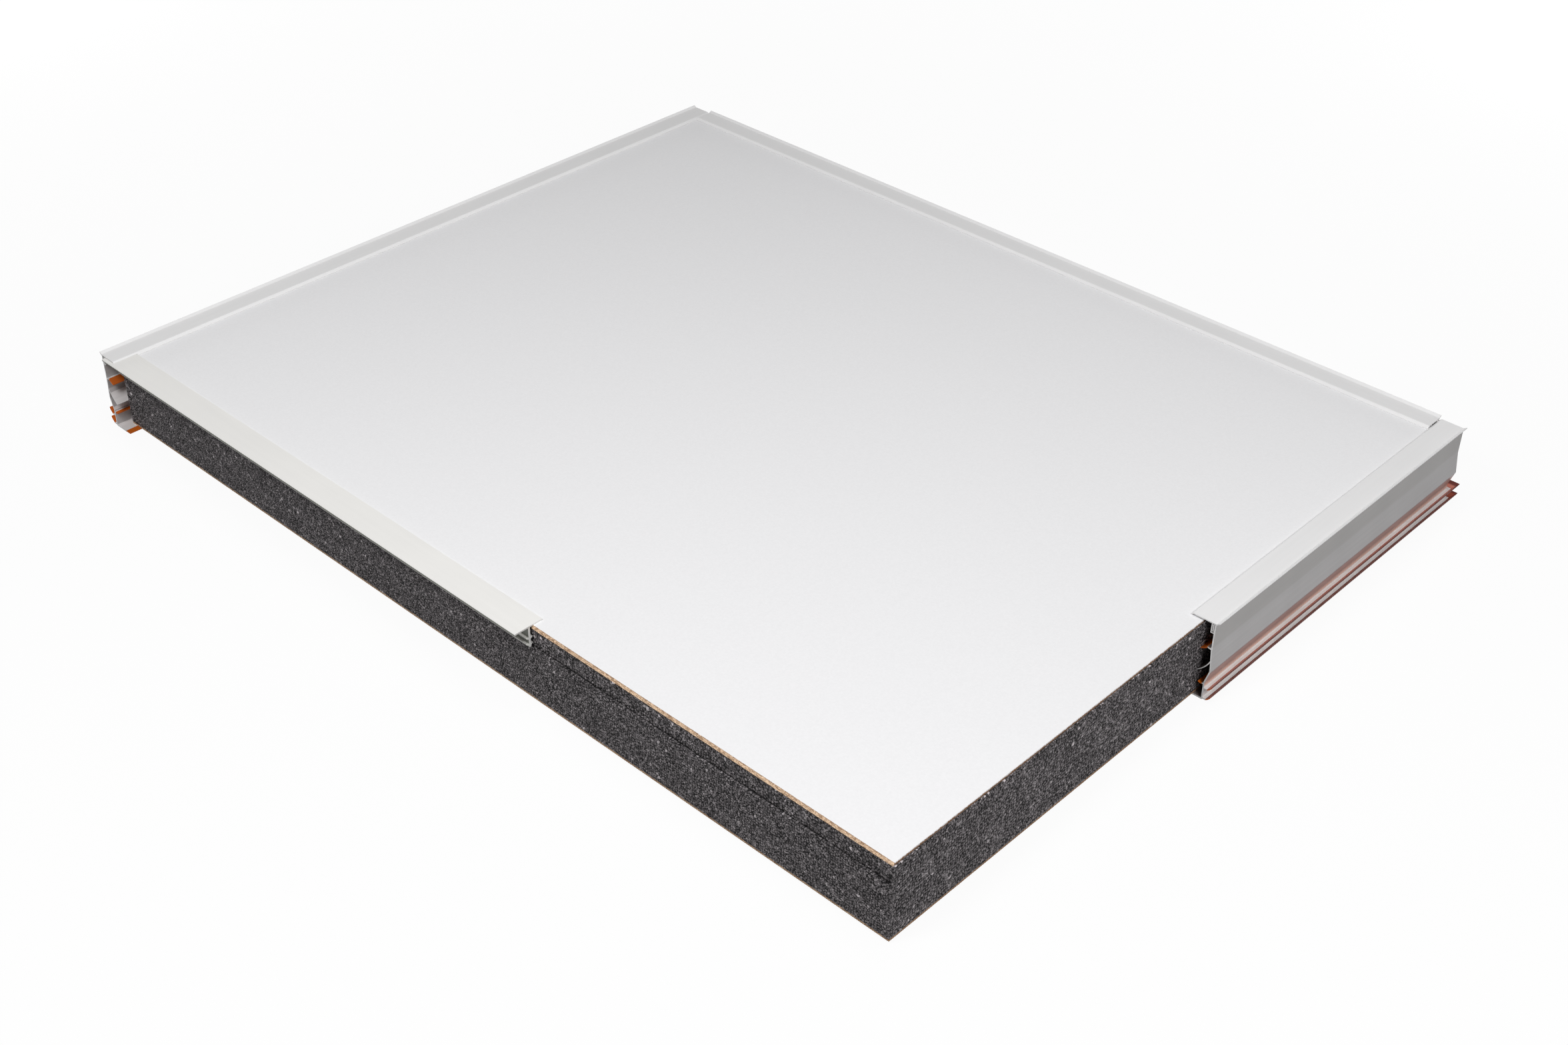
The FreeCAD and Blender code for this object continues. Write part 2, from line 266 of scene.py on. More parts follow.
def chip_flakes():
    """Pressed wood chips: cells of mixed tone, clouded by noise; Chips says how many lie in a metre."""
    group, enter, leave = new_group(
        "chip_flakes",
        [("Light", "Color", (0.6, 0.4, 0.3, 1)), ("Dark", "Color", (0.2, 0.1, 0.06, 1)),
         ("Chips", "Vector", (500, 500, 900))],
        [("Colour", "Color"), ("Height", "Float")])
    place = new_node(group, "TexCoord")
    drawn = new_node(group, "VectorMath", operation="MULTIPLY")
    cells = new_node(group, "TexVoronoi", Scale=1.0)
    grain = new_node(group, "TexNoise", Scale=2.4, Detail=4.0)
    tone = new_node(group, "SeparateColor")
    clouded = math_node(group, "MULTIPLY")
    sharp = new_node(group, "MapRange", From_Min=0.1, From_Max=0.5)
    tint = colour_mix(group)
    wire(group, place, "Object", drawn, 0)
    wire(group, enter, "Chips", drawn, 1)
    wire(group, drawn, 0, cells, "Vector")
    wire(group, drawn, 0, grain, "Vector")
    wire(group, cells, "Color", tone, 0)
    wire(group, tone, 0, clouded, 0)
    wire(group, grain, 0, clouded, 1)
    wire(group, clouded, 0, sharp, "Value")
    wire(group, sharp, 0, tint, "Factor")
    wire(group, enter, "Dark", tint, mix_first)
    wire(group, enter, "Light", tint, mix_second)
    wire(group, tint, mix_result, leave, "Colour")
    wire(group, clouded, 0, leave, "Height")
    return group


def foam_tint():
    """Graphite foam: grey of a bead's own tone, clouded over wide patches, with fine grain."""
    group, enter, leave = new_group(
        "foam_tint",
        [("Tone", "Float", 0.2)],
        [("Colour", "Color"), ("Roughness", "Float"), ("Height", "Float")])
    place = new_node(group, "TexCoord")
    fine = new_node(group, "TexNoise", Scale=900.0, Detail=2.0)
    broad = new_node(group, "TexNoise", Scale=28.0, Detail=2.0)
    mottle = new_node(group, "MapRange", To_Min=0.7, To_Max=1.3)
    clouded = math_node(group, "MULTIPLY")
    shade = new_node(group, "VectorMath", operation="SCALE")
    shade.inputs[0].default_value = (1.05, 0.97, 1.0)
    rough = new_node(group, "MapRange", To_Min=0.55, To_Max=0.85)
    wire(group, place, "Object", fine, "Vector")
    wire(group, place, "Object", broad, "Vector")
    wire(group, broad, 0, mottle, "Value")
    wire(group, enter, "Tone", clouded, 0)
    wire(group, mottle, 0, clouded, 1)
    wire(group, clouded, 0, shade, "Scale")
    wire(group, fine, 0, rough, "Value")
    wire(group, shade, 0, leave, "Colour")
    wire(group, rough, 0, leave, "Roughness")
    wire(group, fine, 0, leave, "Height")
    return group


def tone_by_height(group, tones):
    """Colour by height above the floor, from a list of height and colour that rises."""
    place = new_node(group, "TexCoord")
    split = new_node(group, "SeparateXYZ")
    share = math_node(group, "MULTIPLY", 1 / band_height)
    ramp = colour_ramp(group, [(height / band_height, colour) for height, colour in tones])
    wire(group, place, "Object", split, 0)
    wire(group, split, "Z", share, 0)
    wire(group, share, 0, ramp, 0)
    return ramp


def facing_out(group, enter):
    """How far off a place lies along the Out axis, and that times the normal along Out, which is above
    nothing where a face looks away from the panel and below where it looks back."""
    place = new_node(group, "TexCoord")
    facing = new_node(group, "NewGeometry")
    along = new_node(group, "VectorMath", operation="DOT_PRODUCT")
    turned = new_node(group, "VectorMath", operation="DOT_PRODUCT")
    both = math_node(group, "MULTIPLY")
    wire(group, place, "Object", along, 0)
    wire(group, enter, "Out", along, 1)
    wire(group, facing, "Normal", turned, 0)
    wire(group, enter, "Out", turned, 1)
    wire(group, along, "Value", both, 0)
    wire(group, turned, "Value", both, 1)
    return along, both


def painted_light_bands(name, heights):
    """Colour times a tone of painted light: by height on outer walls, where the normal times the place
    along Out is more than Least, then Near on upward faces that lie nearer than Reach, and Inner on
    other faces that look back at the panel; Inner and a dark Near are painted shade."""
    group, enter, leave = new_group(
        name,
        [("Colour", "Color", plain_white), ("Out", "Vector", along_x), ("Least", "Float", 0.35),
         ("Inner", "Color", plain_white), ("Near", "Color", plain_white), ("Reach", "Float", 0.0)],
        [("Colour", "Color")])
    tones = tone_by_height(group, heights)
    along, both = facing_out(group, enter)
    outer = math_node(group, "GREATER_THAN")
    far = math_node(group, "ABSOLUTE")
    close = math_node(group, "LESS_THAN")
    facing = new_node(group, "NewGeometry")
    split = new_node(group, "SeparateXYZ")
    upward = math_node(group, "GREATER_THAN", upward_from)
    near = math_node(group, "MULTIPLY")
    back = math_node(group, "LESS_THAN", backward_from)
    inner = math_node(group, "MAXIMUM")
    inner_shade_mix = colour_mix(group)
    tint = colour_mix(group, blend_type="MULTIPLY")
    shade = colour_mix(group, blend_type="MULTIPLY")
    wire(group, both, 0, outer, 0)
    wire(group, enter, "Least", outer, 1)
    wire(group, outer, 0, tint, "Factor")
    wire(group, enter, "Colour", tint, mix_first)
    wire(group, tones, 0, tint, mix_second)
    wire(group, along, "Value", far, 0)
    wire(group, far, 0, close, 0)
    wire(group, enter, "Reach", close, 1)
    wire(group, facing, "Normal", split, 0)
    wire(group, split, "Z", upward, 0)
    wire(group, close, 0, near, 0)
    wire(group, upward, 0, near, 1)
    wire(group, both, 0, back, 0)
    wire(group, near, 0, inner, 0)
    wire(group, back, 0, inner, 1)
    wire(group, inner, 0, shade, "Factor")
    wire(group, tint, mix_result, shade, mix_first)
    wire(group, near, 0, inner_shade_mix, "Factor")
    wire(group, enter, "Inner", inner_shade_mix, mix_first)
    wire(group, enter, "Near", inner_shade_mix, mix_second)
    wire(group, inner_shade_mix, mix_result, shade, mix_second)
    wire(group, shade, mix_result, leave, "Colour")
    return group


def painted_lip_light():
    """Painted shade and a painted highlight by height on the sloping faces of the lips that stand out
    past Reach; Colour elsewhere.
    """
    group, enter, leave = new_group(
        "painted_lip_light",
        [("Colour", "Color", plain_white), ("Out", "Vector", along_x), ("Reach", "Float", 0.6)],
        [("Colour", "Color")])
    tones = tone_by_height(group, painted_lip_tones)
    along, both = facing_out(group, enter)
    far = math_node(group, "ABSOLUTE")
    outside = math_node(group, "GREATER_THAN")
    slope = math_node(group, "ABSOLUTE")
    side = math_node(group, "GREATER_THAN", sloping_from)
    share = math_node(group, "MULTIPLY")
    tint = colour_mix(group)
    wire(group, along, "Value", far, 0)
    wire(group, far, 0, outside, 0)
    wire(group, enter, "Reach", outside, 1)
    wire(group, both, 0, slope, 0)
    wire(group, slope, 0, side, 0)
    wire(group, outside, 0, share, 0)
    wire(group, side, 0, share, 1)
    wire(group, share, 0, tint, "Factor")
    wire(group, enter, "Colour", tint, mix_first)
    wire(group, tones, 0, tint, mix_second)
    wire(group, tint, mix_result, leave, "Colour")
    return group


streaks = extrusion_streaks()
wall_shade_group = painted_light_bands("painted_light_bands", painted_wall_tones)
leg_shade_group = painted_light_bands("leg_painted_shade", painted_leg_tones)
lip_light_group = painted_lip_light()
flakes = chip_flakes()
foam = foam_tint()


# Finishes.

profile_white = (0.95, 0.945, 0.94, 1)
cap_white = (0.84, 0.835, 0.835, 1)
strip_white = (0.865, 0.855, 0.83, 1)
# Painted shade on faces inside a profile that look back at the panel; the fin and foot inside the left
# and back profiles stay near white, and the right profile's whole inside takes the deeper painted shade.
painted_inner_shade = (0.62, 0.59, 0.59, 1)
fin_white = (0.96, 0.93, 0.93, 1)
painted_deep_shade = (0.20, 0.17, 0.16, 1)
orange = (0.72, 0.16, 0.004, 1)
deep_orange = (0.55, 0.10, 0.004, 1)
coat_white = (0.905, 0.902, 0.912, 1)
coat_speck = (0.875, 0.872, 0.882, 1)
coat_edge = (0.88, 0.88, 0.89, 1)
pale_chip = (1.0, 0.73, 0.50, 1)
dark_chip = (0.26, 0.13, 0.06, 1)

# How far past the foam the inner faces of a profile end and the outer lips start.
inner_reach = 11.6 * mm
lip_root = 12 * mm

# A reach that no lip gets to, for lips without bands of painted shade and highlight.
past_all = 2 * core_high.x


def bump_into(tree, shader, source, socket, strength, distance):
    """Bump from a height that a node puts out."""
    bump = new_node(tree, "Bump", Strength=strength, Distance=distance)
    wire(tree, source, socket, bump, "Height")
    wire(tree, bump, "Normal", shader, "Normal")


def drawn_along(axis, across, along):
    """Noise scales of draw lines: high across the axis, low along it."""
    return tuple(along if part else across for part in axis)


def plastic(name, colour, run, strength, walls=None, **facing):
    """Hard white plastic with faint draw lines along its run; walls is the painted light on its outer
    walls.
    """
    material, tree, shader = new_material(name, Specular_IOR_Level=0.35)
    lines = place_group(tree, streaks, Colour=colour, Run=run, Strength=strength)
    tint = lines
    if walls:
        tint = place_group(tree, walls, **facing)
        wire(tree, lines, "Colour", tint, "Colour")
    wire(tree, tint, "Colour", shader, "Base Color")
    wire(tree, lines, "Roughness", shader, "Roughness")
    bump_into(tree, shader, lines, "Height", strength=0.03, distance=0.3 * mm)
    return material


def profile_plastic(name, run, out, foam_edge, inner, near):
    """Edge profile along the run axis, outside the foam edge on the out axis, with painted shade on its
    inner faces and painted light by height on its outer walls.
    """
    return plastic(name, profile_white, drawn_along(run, across=280, along=4), strength=0.22,
                   walls=wall_shade_group, Out=out, Inner=inner, Near=near, Reach=foam_edge + inner_reach)


def cap_plastic(name, run):
    """Cover cap along the run axis."""
    return plastic(name, cap_white, drawn_along(run, across=200, along=6), strength=0.05)


def strip_plastic():
    """Joint cover strip, with painted shade on the leg below its flange and painted highlights on the
    barbs.
    """
    return plastic("warm_white_strip", strip_white, drawn_along(along_x, across=160, along=6),
                   strength=0.05, walls=leg_shade_group, Out=along_y, Least=0.25)


def rubber(name, out, reach):
    """Soft orange lip: two tones mixed by cloudy noise, with painted shade and highlight in bands on
    what stands out past reach.
    """
    material, tree, shader = new_material(name)
    place = new_node(tree, "TexCoord")
    cloud = new_node(tree, "TexNoise", Scale=60.0, Detail=4.0)
    mix = colour_mix(tree)
    mix.inputs[mix_first].default_value = orange
    mix.inputs[mix_second].default_value = deep_orange
    rough = new_node(tree, "MapRange", To_Min=0.45, To_Max=0.65)
    tint = place_group(tree, lip_light_group, Out=out, Reach=reach)
    wire(tree, place, "Object", cloud, "Vector")
    wire(tree, cloud, 0, mix, "Factor")
    wire(tree, cloud, 0, rough, "Value")
    wire(tree, mix, mix_result, tint, "Colour")
    wire(tree, tint, "Colour", shader, "Base Color")
    wire(tree, rough, 0, shader, "Roughness")
    bump_into(tree, shader, cloud, 0, strength=0.2, distance=0.4 * mm)
    return material


def coated_board():
    """White coat with fine specks on the upward face, bare chips on the edges."""
    material, tree, shader = new_material("white_coated_chipboard")
    place = new_node(tree, "TexCoord")
    facing = new_node(tree, "NewGeometry")
    split = new_node(tree, "SeparateXYZ")
    edge = math_node(tree, "LESS_THAN", level_from)
    speck = new_node(tree, "TexNoise", Scale=420.0, Detail=2.0)
    coat = colour_ramp(tree, [(0.3, coat_speck), (0.7, coat_white)])
    chips = place_group(tree, flakes, Light=(0.72, 0.53, 0.39, 1), Dark=(0.30, 0.19, 0.12, 1),
                        Chips=(420, 420, 1300))
    colour = colour_mix(tree)
    rough = new_node(tree, "MapRange", To_Min=0.42, To_Max=0.85)
    wire(tree, facing, "Normal", split, 0)
    wire(tree, split, "Z", edge, 0)
    wire(tree, place, "Object", speck, "Vector")
    wire(tree, speck, 0, coat, 0)
    wire(tree, edge, 0, colour, "Factor")
    wire(tree, coat, 0, colour, mix_first)
    wire(tree, chips, "Colour", colour, mix_second)
    wire(tree, colour, mix_result, shader, "Base Color")
    wire(tree, edge, 0, rough, "Value")
    wire(tree, rough, 0, shader, "Roughness")
    bump_into(tree, shader, speck, 0, strength=0.05, distance=0.2 * mm)
    return material


def bare_board():
    """Brown chipboard, uncoated."""
    material, tree, shader = new_material("brown_chipboard", Roughness=0.85)
    chips = place_group(tree, flakes, Light=(0.80, 0.55, 0.36, 1), Dark=(0.24, 0.13, 0.075, 1),
                        Chips=(330, 330, 900))
    wire(tree, chips, "Colour", shader, "Base Color")
    bump_into(tree, shader, chips, "Height", strength=0.4, distance=0.4 * mm)
    return material


def sawn_board():
    """Sawn edge of a board: chips from dark to pale by their own tone, white where the coat ends."""
    material, tree, shader = new_material("sawn_chip_edge", Roughness=0.85)
    chip = new_node(tree, "Attribute", attribute_name="chip_tone")
    coat = new_node(tree, "Attribute", attribute_name="coat")
    wood = colour_ramp(tree, [(0, dark_chip), (1, pale_chip)])
    colour = colour_mix(tree)
    colour.inputs[mix_second].default_value = coat_edge
    wire(tree, chip, "Fac", wood, 0)
    wire(tree, coat, "Fac", colour, "Factor")
    wire(tree, wood, 0, colour, mix_first)
    wire(tree, colour, mix_result, shader, "Base Color")
    bump_into(tree, shader, chip, "Fac", strength=0.3, distance=0.3 * mm)
    return material


def foam_block():
    """Foam where no relief is laid: bead cells straight from the shader, dark at their joints."""
    material, tree, shader = new_material("graphite_foam_block")
    place = new_node(tree, "TexCoord")
    cells = new_node(tree, "TexVoronoi", Scale=260.0)
    rim = new_node(tree, "TexVoronoi", Scale=260.0, feature="DISTANCE_TO_EDGE")
    tone = new_node(tree, "SeparateColor")
    bead = new_node(tree, "MapRange", To_Min=0.12, To_Max=0.36)
    joint = new_node(tree, "MapRange", From_Max=0.12, To_Min=0.2, To_Max=1.0)
    grey = math_node(tree, "MULTIPLY")
    tint = place_group(tree, foam)
    wire(tree, place, "Object", cells, "Vector")
    wire(tree, place, "Object", rim, "Vector")
    wire(tree, cells, "Color", tone, 0)
    wire(tree, tone, 0, bead, "Value")
    wire(tree, rim, "Distance", joint, "Value")
    wire(tree, bead, 0, grey, 0)
    wire(tree, joint, 0, grey, 1)
    wire(tree, grey, 0, tint, "Tone")
    wire(tree, tint, "Colour", shader, "Base Color")
    wire(tree, tint, "Roughness", shader, "Roughness")
    bump_into(tree, shader, rim, "Distance", strength=0.6, distance=2 * mm)
    return material


def foam_relief():
    """Foam on the cut faces: each bead's tone is carried by the relief itself."""
    material, tree, shader = new_material("graphite_foam_beads", Specular_IOR_Level=0.15)
    tint = place_group(tree, foam)
    carried = new_node(tree, "Attribute", attribute_name="bead_tone")
    wire(tree, carried, "Fac", tint, "Tone")
    wire(tree, tint, "Colour", shader, "Base Color")
    wire(tree, tint, "Roughness", shader, "Roughness")
    bump_into(tree, shader, tint, "Height", strength=0.3, distance=0.6 * mm)
    return material


sawn_edge = sawn_board()
bead_foam = foam_relief()
side_cap = cap_plastic("white_cap_sides", along_y)
finishes = {
    "insulation_core": foam_block(),
    "ceiling_board": coated_board(),
    "outer_board": bare_board(),
    "joint_cover_strip": strip_plastic(),
    # The right profile's inner faces, fin and foot carry the deeper painted shade.
    "left_edge_profile": profile_plastic("white_profile_left", along_y, along_x, core_high.x,
                                         painted_inner_shade, fin_white),
    "right_edge_profile": profile_plastic("white_profile_right", along_y, along_x, core_high.x,
                                          painted_deep_shade, painted_deep_shade),
    "back_edge_profile": profile_plastic("white_profile_back", along_x, along_y, core_high.y,
                                         painted_inner_shade, fin_white),
    "left_cover_cap": side_cap,
    "right_cover_cap": side_cap,
    "back_cover_cap": cap_plastic("white_cap_back", along_x),
    "left_seal_lips": rubber("orange_lips_left", along_x, past_all),
    "right_seal_lips": rubber("orange_lips_right", along_x, core_high.x + lip_root),
    "back_seal_lips": rubber("orange_lips_back", along_y, core_high.y + lip_root),
}
for node_name, finish in finishes.items():
    node_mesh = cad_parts[node_name].data
    node_mesh.materials.clear()
    node_mesh.materials.append(finish)


# Foam relief on the cut faces and chips on the sawn board edges.

# Lattice of beads, in cells: its period, the free margin of a cell, the largest rim, how far off the
# beads that count are looked for, and a distance past them all. Then the random numbers of a bead.
lattice = 512
cell_margin = 0.1
largest_rim = 0.3
search = 2
far_off = 9.0
trait_count = 4

# Relief of a bead, in shares of its skin's relief, then the least relief and how far a rim sinks.
rim_height = 0.14
pillow_height = 0.46
lift_height = 0.3
tilt_height = 0.5
pit_depth = 0.5
least_relief = 0.02 * mm
foam_sink = 0.3 * mm

# How a bead falls to its rim, in beads, and where a pit opens between three.
pillow_fall = 0.2
pit_breadth = 0.5
pit_slope = 3.5
beads_without_pits = 0.3

# Tone of a bead: its own grey, at its rim, on its pillow and what a pit takes away.
grey_least = 0.18
grey_spread = 0.20
grey_bias = 1.3
rim_tone = 0.04
pillow_tone = 1.2
pit_dark = 0.97

# Grain of each point, and flakes inside a bead: size in beads, tone, and their rims in flakes.
grain_low = 0.6
grain_high = 1.4
flake_size = 0.45
flake_least = 0.4
flake_spread = 1.2
flake_fall = 0.15
flake_rim_tone = 0.45

# Pale flecks: whole beads, all but their rims; and painted glints, white spots where three beads meet.
pale_least = 0.34
pale_spread = 0.40
pale_pillow = 0.4
glint_meeting = 0.4
glint_tone = 0.7
glints_to_pale = 4

# Painted shade lines in the slit at the rebate corner and under the board's edge: how far they sway,
# how much their width changes, and over what length.
shade_line_sway = 0.25 * mm
sway_length = 9 * mm
shade_line_narrow = 0.7
shade_line_wide = 1.3
shade_line_length = 5 * mm

# Chips of a sawn edge: length, thickness, width of the joints in chips, and relief in millimetres.
chip_length = 3.0 * mm
chip_thickness = 1.0 * mm
chip_joint = 0.14
chip_base = 0.08
chip_lift = 0.26
joint_depth = 0.10
chip_sink = 0.2 * mm

# Tone of a chip: its own, its grain, what a joint takes away, and the darker stretch under the coat.
chip_least = 0.15
chip_spread = 0.85
chip_grain_low = 0.25
chip_grain_high = 1.75
joint_dark = 0.6
under_coat = 0.75
under_coat_tone = 0.5

# Broken edge of the coat: length of one break, and the least and greatest share of its height.
coat_break = 1.5 * mm
coat_low = 0.3
coat_high = 1.7

Skin = namedtuple("Skin", "bead relief tone pale")


def beads(u, v, seed):
    """Beads of mixed size, one to each unit cell of a jittered lattice. A place belongs to the bead
    whose rim is nearest or lies furthest out. Gives how far the second and the third bead are behind,
    the way from the bead's own middle, and four steady random numbers of that bead."""
    rng = np.random.default_rng(seed)
    middle = rng.uniform(cell_margin, 1 - cell_margin, (lattice, lattice, 2))
    radius = rng.uniform(0.0, largest_rim, (lattice, lattice))
    traits = rng.random((lattice, lattice, trait_count))
    here = np.stack(np.broadcast_arrays(u, v), -1)
    cell = np.floor(here).astype(int)
    first, second, third = (np.full(here.shape[:2], far_off) for _ in range(3))
    away = np.zeros_like(here)
    owner = np.zeros(here.shape[:2] + (trait_count,))
    for step in np.ndindex(2 * search + 1, 2 * search + 1):
        near = cell + np.array(step) - search
        a, b = np.moveaxis(near % lattice, -1, 0)
        way = here - near - middle[a, b]
        rim = np.hypot(way[..., 0], way[..., 1]) - radius[a, b]
        closer = (rim < first)[..., None]
        away = np.where(closer, way, away)
        owner = np.where(closer, traits[a, b], owner)
        third = np.minimum(third, np.maximum(second, rim))
        second = np.minimum(second, np.maximum(first, rim))
        first = np.minimum(first, rim)
    return second - first, third - first, away, owner


def wander(t, spacing, low, high, seed):
    """Seeded value along a run, drawn afresh at every spacing and straight in between."""
    knots = np.arange(t[0] - spacing, t[-1] + 2 * spacing, spacing)
    return np.interp(t, knots, np.random.default_rng(seed).uniform(low, high, len(knots)))


def sink_rim(height, depth):
    """Lets the outermost rows and columns of a relief sink into the solid behind."""
    height[[0, -1], :] = -depth
    height[:, [0, -1]] = -depth


def walk_section(corners, step):
    """Walks a section of straight legs in even steps. Gives the way to each stop and to each corner,
    the leg of each stop, and its outward direction, which at a corner is the sum of both legs' own."""
    legs = np.diff(corners, axis=0)
    lengths = np.hypot(legs[:, 0], legs[:, 1])
    reach = np.concatenate([[0], np.cumsum(lengths)])
    stops = [np.linspace(a, b, max(2, round((b - a) / step)), endpoint=False)
             for a, b in zip(reach[:-1], reach[1:])]
    s = np.concatenate(stops + [reach[-1:]])
    leg = np.clip(np.searchsorted(reach, s, side="right") - 1, 0, len(legs) - 1)
    square = np.stack([legs[:, 1], -legs[:, 0]], -1) / lengths[:, None]
    facing = square[leg]
    for k in range(1, len(legs)):
        facing[np.argmin(np.abs(s - reach[k]))] = square[k - 1] + square[k]
    return s, reach, leg, facing


def foam_face(name, corners, skins, painted_shade_lines, start, end, parts, place, step, seed):
    """A section of straight legs carried along a run, cut into parts that share their seams. Every
    point stands out from its leg by the pillow, lift and tilt of its bead, less the pits where three
    beads meet; rims sink inwards. Skins give each leg its bead size, relief, tone and share of pale
    beads; painted_shade_lines are dark lines of painted shade that wander along a corner, given as
    corner number and half width. Flakes under half a bead wide vary the tone inside each bead, and
    painted glints, small white spots, lie where some three beads meet."""
    corners = np.array(corners)
    s, reach, leg, facing = walk_section(corners, step)
    t = np.linspace(start, end, round((end - start) / step) + 1)
    bead, relief, tone, pale = (np.array(values)[leg][:, None] for values in zip(*skins))
    behind, third, away, trait = beads(t / bead, s[:, None] / bead, seed)
    lift = trait[..., 0]
    shade = trait[..., 1]
    lean = trait[..., 2:] - 0.5
    luck = trait[..., 3]
    meeting = np.clip(1 - third / pit_breadth, 0, 1)
    pit = np.clip(pit_slope * meeting, 0, 1) * (luck > beads_without_pits)
    pillow = 1 - np.exp(-behind / pillow_fall)
    tilt = (away * lean).sum(-1)
    height = rim_height + pillow_height * pillow + lift_height * lift + tilt_height * tilt
    height = np.clip(relief * (height - pit_depth * pit), least_relief, None)
    sink_rim(height, foam_sink)
    # Painted shade along the slit and under the board's edge, darkened like a pit.
    for corner, width in painted_shade_lines:
        line = reach[corner] + wander(t, sway_length, -shade_line_sway, shade_line_sway, seed + corner)
        width = width * wander(t, shade_line_length, shade_line_narrow, shade_line_wide, seed + 2 * corner)
        pit = np.maximum(pit, np.exp(-((s[:, None] - line) / width) ** 4))
    flake = flake_size * bead
    flake_behind, _, _, flake_trait = beads(t / flake, s[:, None] / flake, seed + 5)
    grain = np.random.default_rng(seed).uniform(grain_low, grain_high, height.shape)
    grain = grain * (flake_least + flake_spread * flake_trait[..., 1])
    flake_pillow = 1 - np.exp(-flake_behind / flake_fall)
    grain = grain * (flake_rim_tone + (1 - flake_rim_tone) * flake_pillow)
    own_tone = tone * (grey_least + grey_spread * shade ** grey_bias)
    light = own_tone * (rim_tone + pillow_tone * pillow) * grain * (1 - pit_dark * pit)
    fleck = (lift > 1 - pale) & (pillow > pale_pillow)
    light = np.where(fleck, pale_least + pale_spread * shade, light)
    # Painted glints where some three beads meet.
    painted_glint = (meeting > glint_meeting) & (luck < glints_to_pale * pale)
    light = np.where(painted_glint, glint_tone, light)
    out = np.interp(s, reach, corners[:, 0])[:, None] + facing[:, :1] * height
    up = np.interp(s, reach, corners[:, 1])[:, None] + facing[:, 1:] * height
    points = place(out, up, t)
    seams = np.linspace(0, len(t) - 1, parts + 1).astype(int)
    for number, (a, b) in enumerate(zip(seams[:-1], seams[1:]), 1):
        span = slice(a, b + 1)
        surface("%s_%d" % (name, number), points[:, span], {"bead_tone": light[:, span]},
                bead_foam)


def chip_edge(name, foot, top, start, end, place, step, seed, tone, coat_share=0.0, foot_tone=1.0):
    """Sawn edge of a board carried along a run from its foot up to its top: long flat chips stand out
    by their own lift, less the joints between them. The topmost share, coat_share, is the broken edge
    of the white coat. The tone of the chips rises from the share foot_tone at the foot to its full
    value at the top, less the darker stretch under the coat."""
    foot = np.array(foot)
    top = np.array(top)
    tall = np.hypot(*(top - foot))
    rise = np.linspace(0, 1, round(tall / step) + 3)[:, None]
    t = np.linspace(start, end, round((end - start) / step) + 1)
    square = np.array([top[1] - foot[1], foot[0] - top[0]]) / tall
    behind, _, _, trait = beads(t / chip_length, rise * tall / chip_thickness, seed)
    joint = np.exp(-(behind / chip_joint) ** 2)
    height = (chip_base + chip_lift * trait[..., 0] - joint_depth * joint) * mm
    sink_rim(height, chip_sink)
    grain = np.random.default_rng(seed).uniform(chip_grain_low, chip_grain_high, height.shape)
    coat = rise > 1 - coat_share * wander(t, coat_break, coat_low, coat_high, seed)
    rising = foot_tone + (1 - foot_tone) * rise
    rising = rising * np.where(rise > under_coat, under_coat_tone, 1.0)
    own_tone = tone * rising * (chip_least + chip_spread * trait[..., 1])
    chips = {"chip_tone": own_tone * grain * (1 - joint_dark * joint), "coat": coat.astype(float)}
    out = foot[0] + rise * (top[0] - foot[0]) + square[0] * height
    up = foot[1] + rise * (top[1] - foot[1]) + square[1] * height
    surface(name, place(out, up, t), chips, sawn_edge)


def on_joint_side(out, up, along):
    """Places a section point on the joint edge, which faces -Y."""
    return np.stack(np.broadcast_arrays(along, core_low.y - out, up), -1)


def on_end_side(out, up, along):
    """Places a section point on the cut end, which faces +X."""
    return np.stack(np.broadcast_arrays(core_high.x + out, along, up), -1)


# Steps of the grids, how far a face runs past a corner, and how far an edge starts under the strip.
foam_step = 0.62 * mm
ceiling_chip_step = 0.42 * mm
outer_chip_step = 0.6 * mm
past_corner = 0.5 * mm
under_strip = 2 * mm

foam_face("joint_foam_face",
          corners=[(0, core_low.z), (0, ledge), (-rebate_depth, ledge), (-rebate_depth, core_high.z)],
          skins=[Skin(bead=3.1 * mm, relief=1.0 * mm, tone=0.76, pale=0.008),
                 Skin(bead=3.0 * mm, relief=0.4 * mm, tone=0.70, pale=0.0),
                 Skin(bead=3.5 * mm, relief=0.8 * mm, tone=0.74, pale=0.014)],
          # Painted shade in the slit at the rebate's inner corner and under the board's edge.
          painted_shade_lines=[(2, 1.1 * mm), (3, 0.8 * mm)],
          start=core_low.x, end=core_high.x + past_corner,
          parts=4, place=on_joint_side, step=foam_step, seed=11)
foam_face("end_foam_face",
          corners=[(0, core_low.z), (0, core_high.z), (-end_ledge, core_high.z)],
          skins=[Skin(bead=3.5 * mm, relief=0.9 * mm, tone=0.79, pale=0.008),
                 Skin(bead=3.0 * mm, relief=0.6 * mm, tone=0.42, pale=0.06)],
          painted_shade_lines=[],
          start=core_low.y - past_corner, end=tucked_end,
          parts=2, place=on_end_side, step=foam_step, seed=23)
chip_edge("joint_board_edge",
          foot=(-board_setback + past_corner, board_low.z - past_corner),
          top=(-board_setback - edge_bevel, board_high.z),
          start=strip_high.x - under_strip, end=board_high.x,
          place=on_joint_side, step=ceiling_chip_step, seed=31, tone=1.35, coat_share=0.05)
chip_edge("end_board_edge",
          foot=(-end_ledge, board_low.z), top=(-end_ledge, board_high.z),
          start=board_low.y + edge_bevel, end=tucked_end,
          place=on_end_side, step=ceiling_chip_step, seed=37, tone=0.5, coat_share=0.30, foot_tone=0.0)
